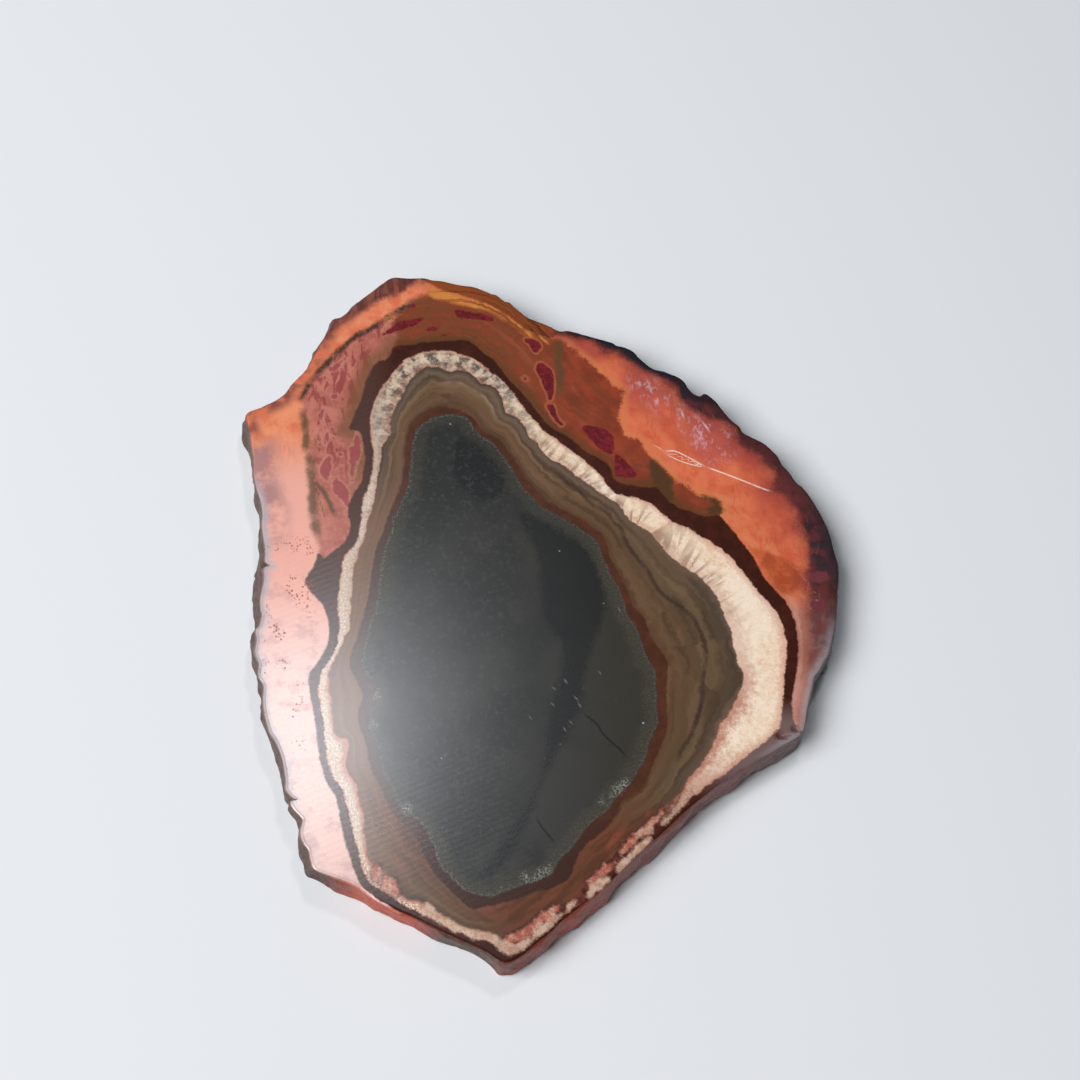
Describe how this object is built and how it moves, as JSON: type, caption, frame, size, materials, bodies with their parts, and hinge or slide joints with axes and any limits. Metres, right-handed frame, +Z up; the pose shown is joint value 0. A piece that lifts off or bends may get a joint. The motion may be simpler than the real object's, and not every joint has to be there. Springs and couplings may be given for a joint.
{
  "type": "polychrome jasper slice",
  "caption": "Thin sawn slice of banded polychrome jasper: a flat polished face, a flat sawn underside and a broken natural edge.",
  "frame": {"origin": "middle of the bounding box, on the flat sawn underside that the slice rests on", "axes": "+Z up out of the polished face, through the slice's thickness; +Y along the slice's long axis, towards its broad end, away from its pointed end"},
  "size_m": [0.0754, 0.0904, 0.005],
  "materials": {
    "jasper": "polished upper face with a dark grey-green core, taupe, cream, maroon and orange bands; matte sawn underside and rough broken edge"
  },
  "bodies": {
    "root": {"jasper_slice": "jasper"}
  },
  "joints": []
}
